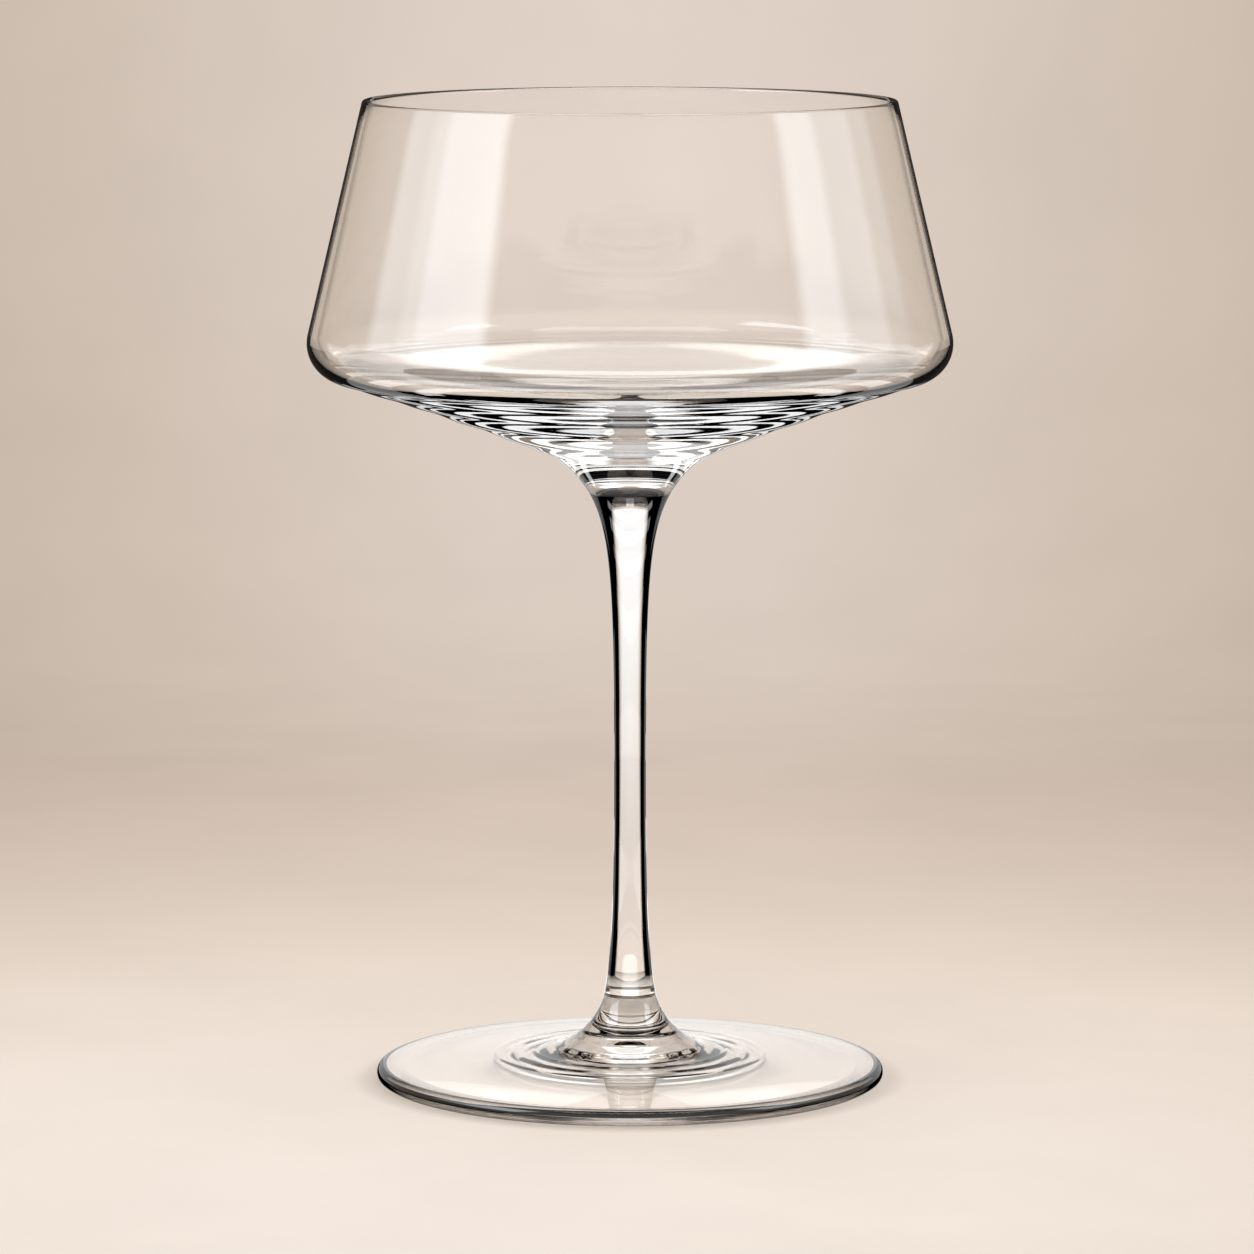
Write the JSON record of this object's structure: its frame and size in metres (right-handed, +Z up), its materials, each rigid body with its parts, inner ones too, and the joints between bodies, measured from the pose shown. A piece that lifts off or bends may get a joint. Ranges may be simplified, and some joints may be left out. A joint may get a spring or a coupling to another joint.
{
  "type": "coupe glass",
  "caption": "Clear stemmed coupe glass: straight-sided bowl narrowing to the rim, rounded shoulder, thick sloping floor, slender drawn stem and plain round foot.",
  "frame": {"origin": "centre of the foot's rest ring, on the surface that the glass stands on", "axes": "+Z up along the glass's turning axis, from the foot to the rim"},
  "size_m": [0.111, 0.111, 0.17],
  "materials": {
    "bowl": "clear, fire-polished",
    "stem": "clear, fire-polished",
    "foot": "clear, fire-polished"
  },
  "bodies": {
    "root": {"bowl": "bowl", "stem": "stem", "foot": "foot"}
  },
  "joints": []
}
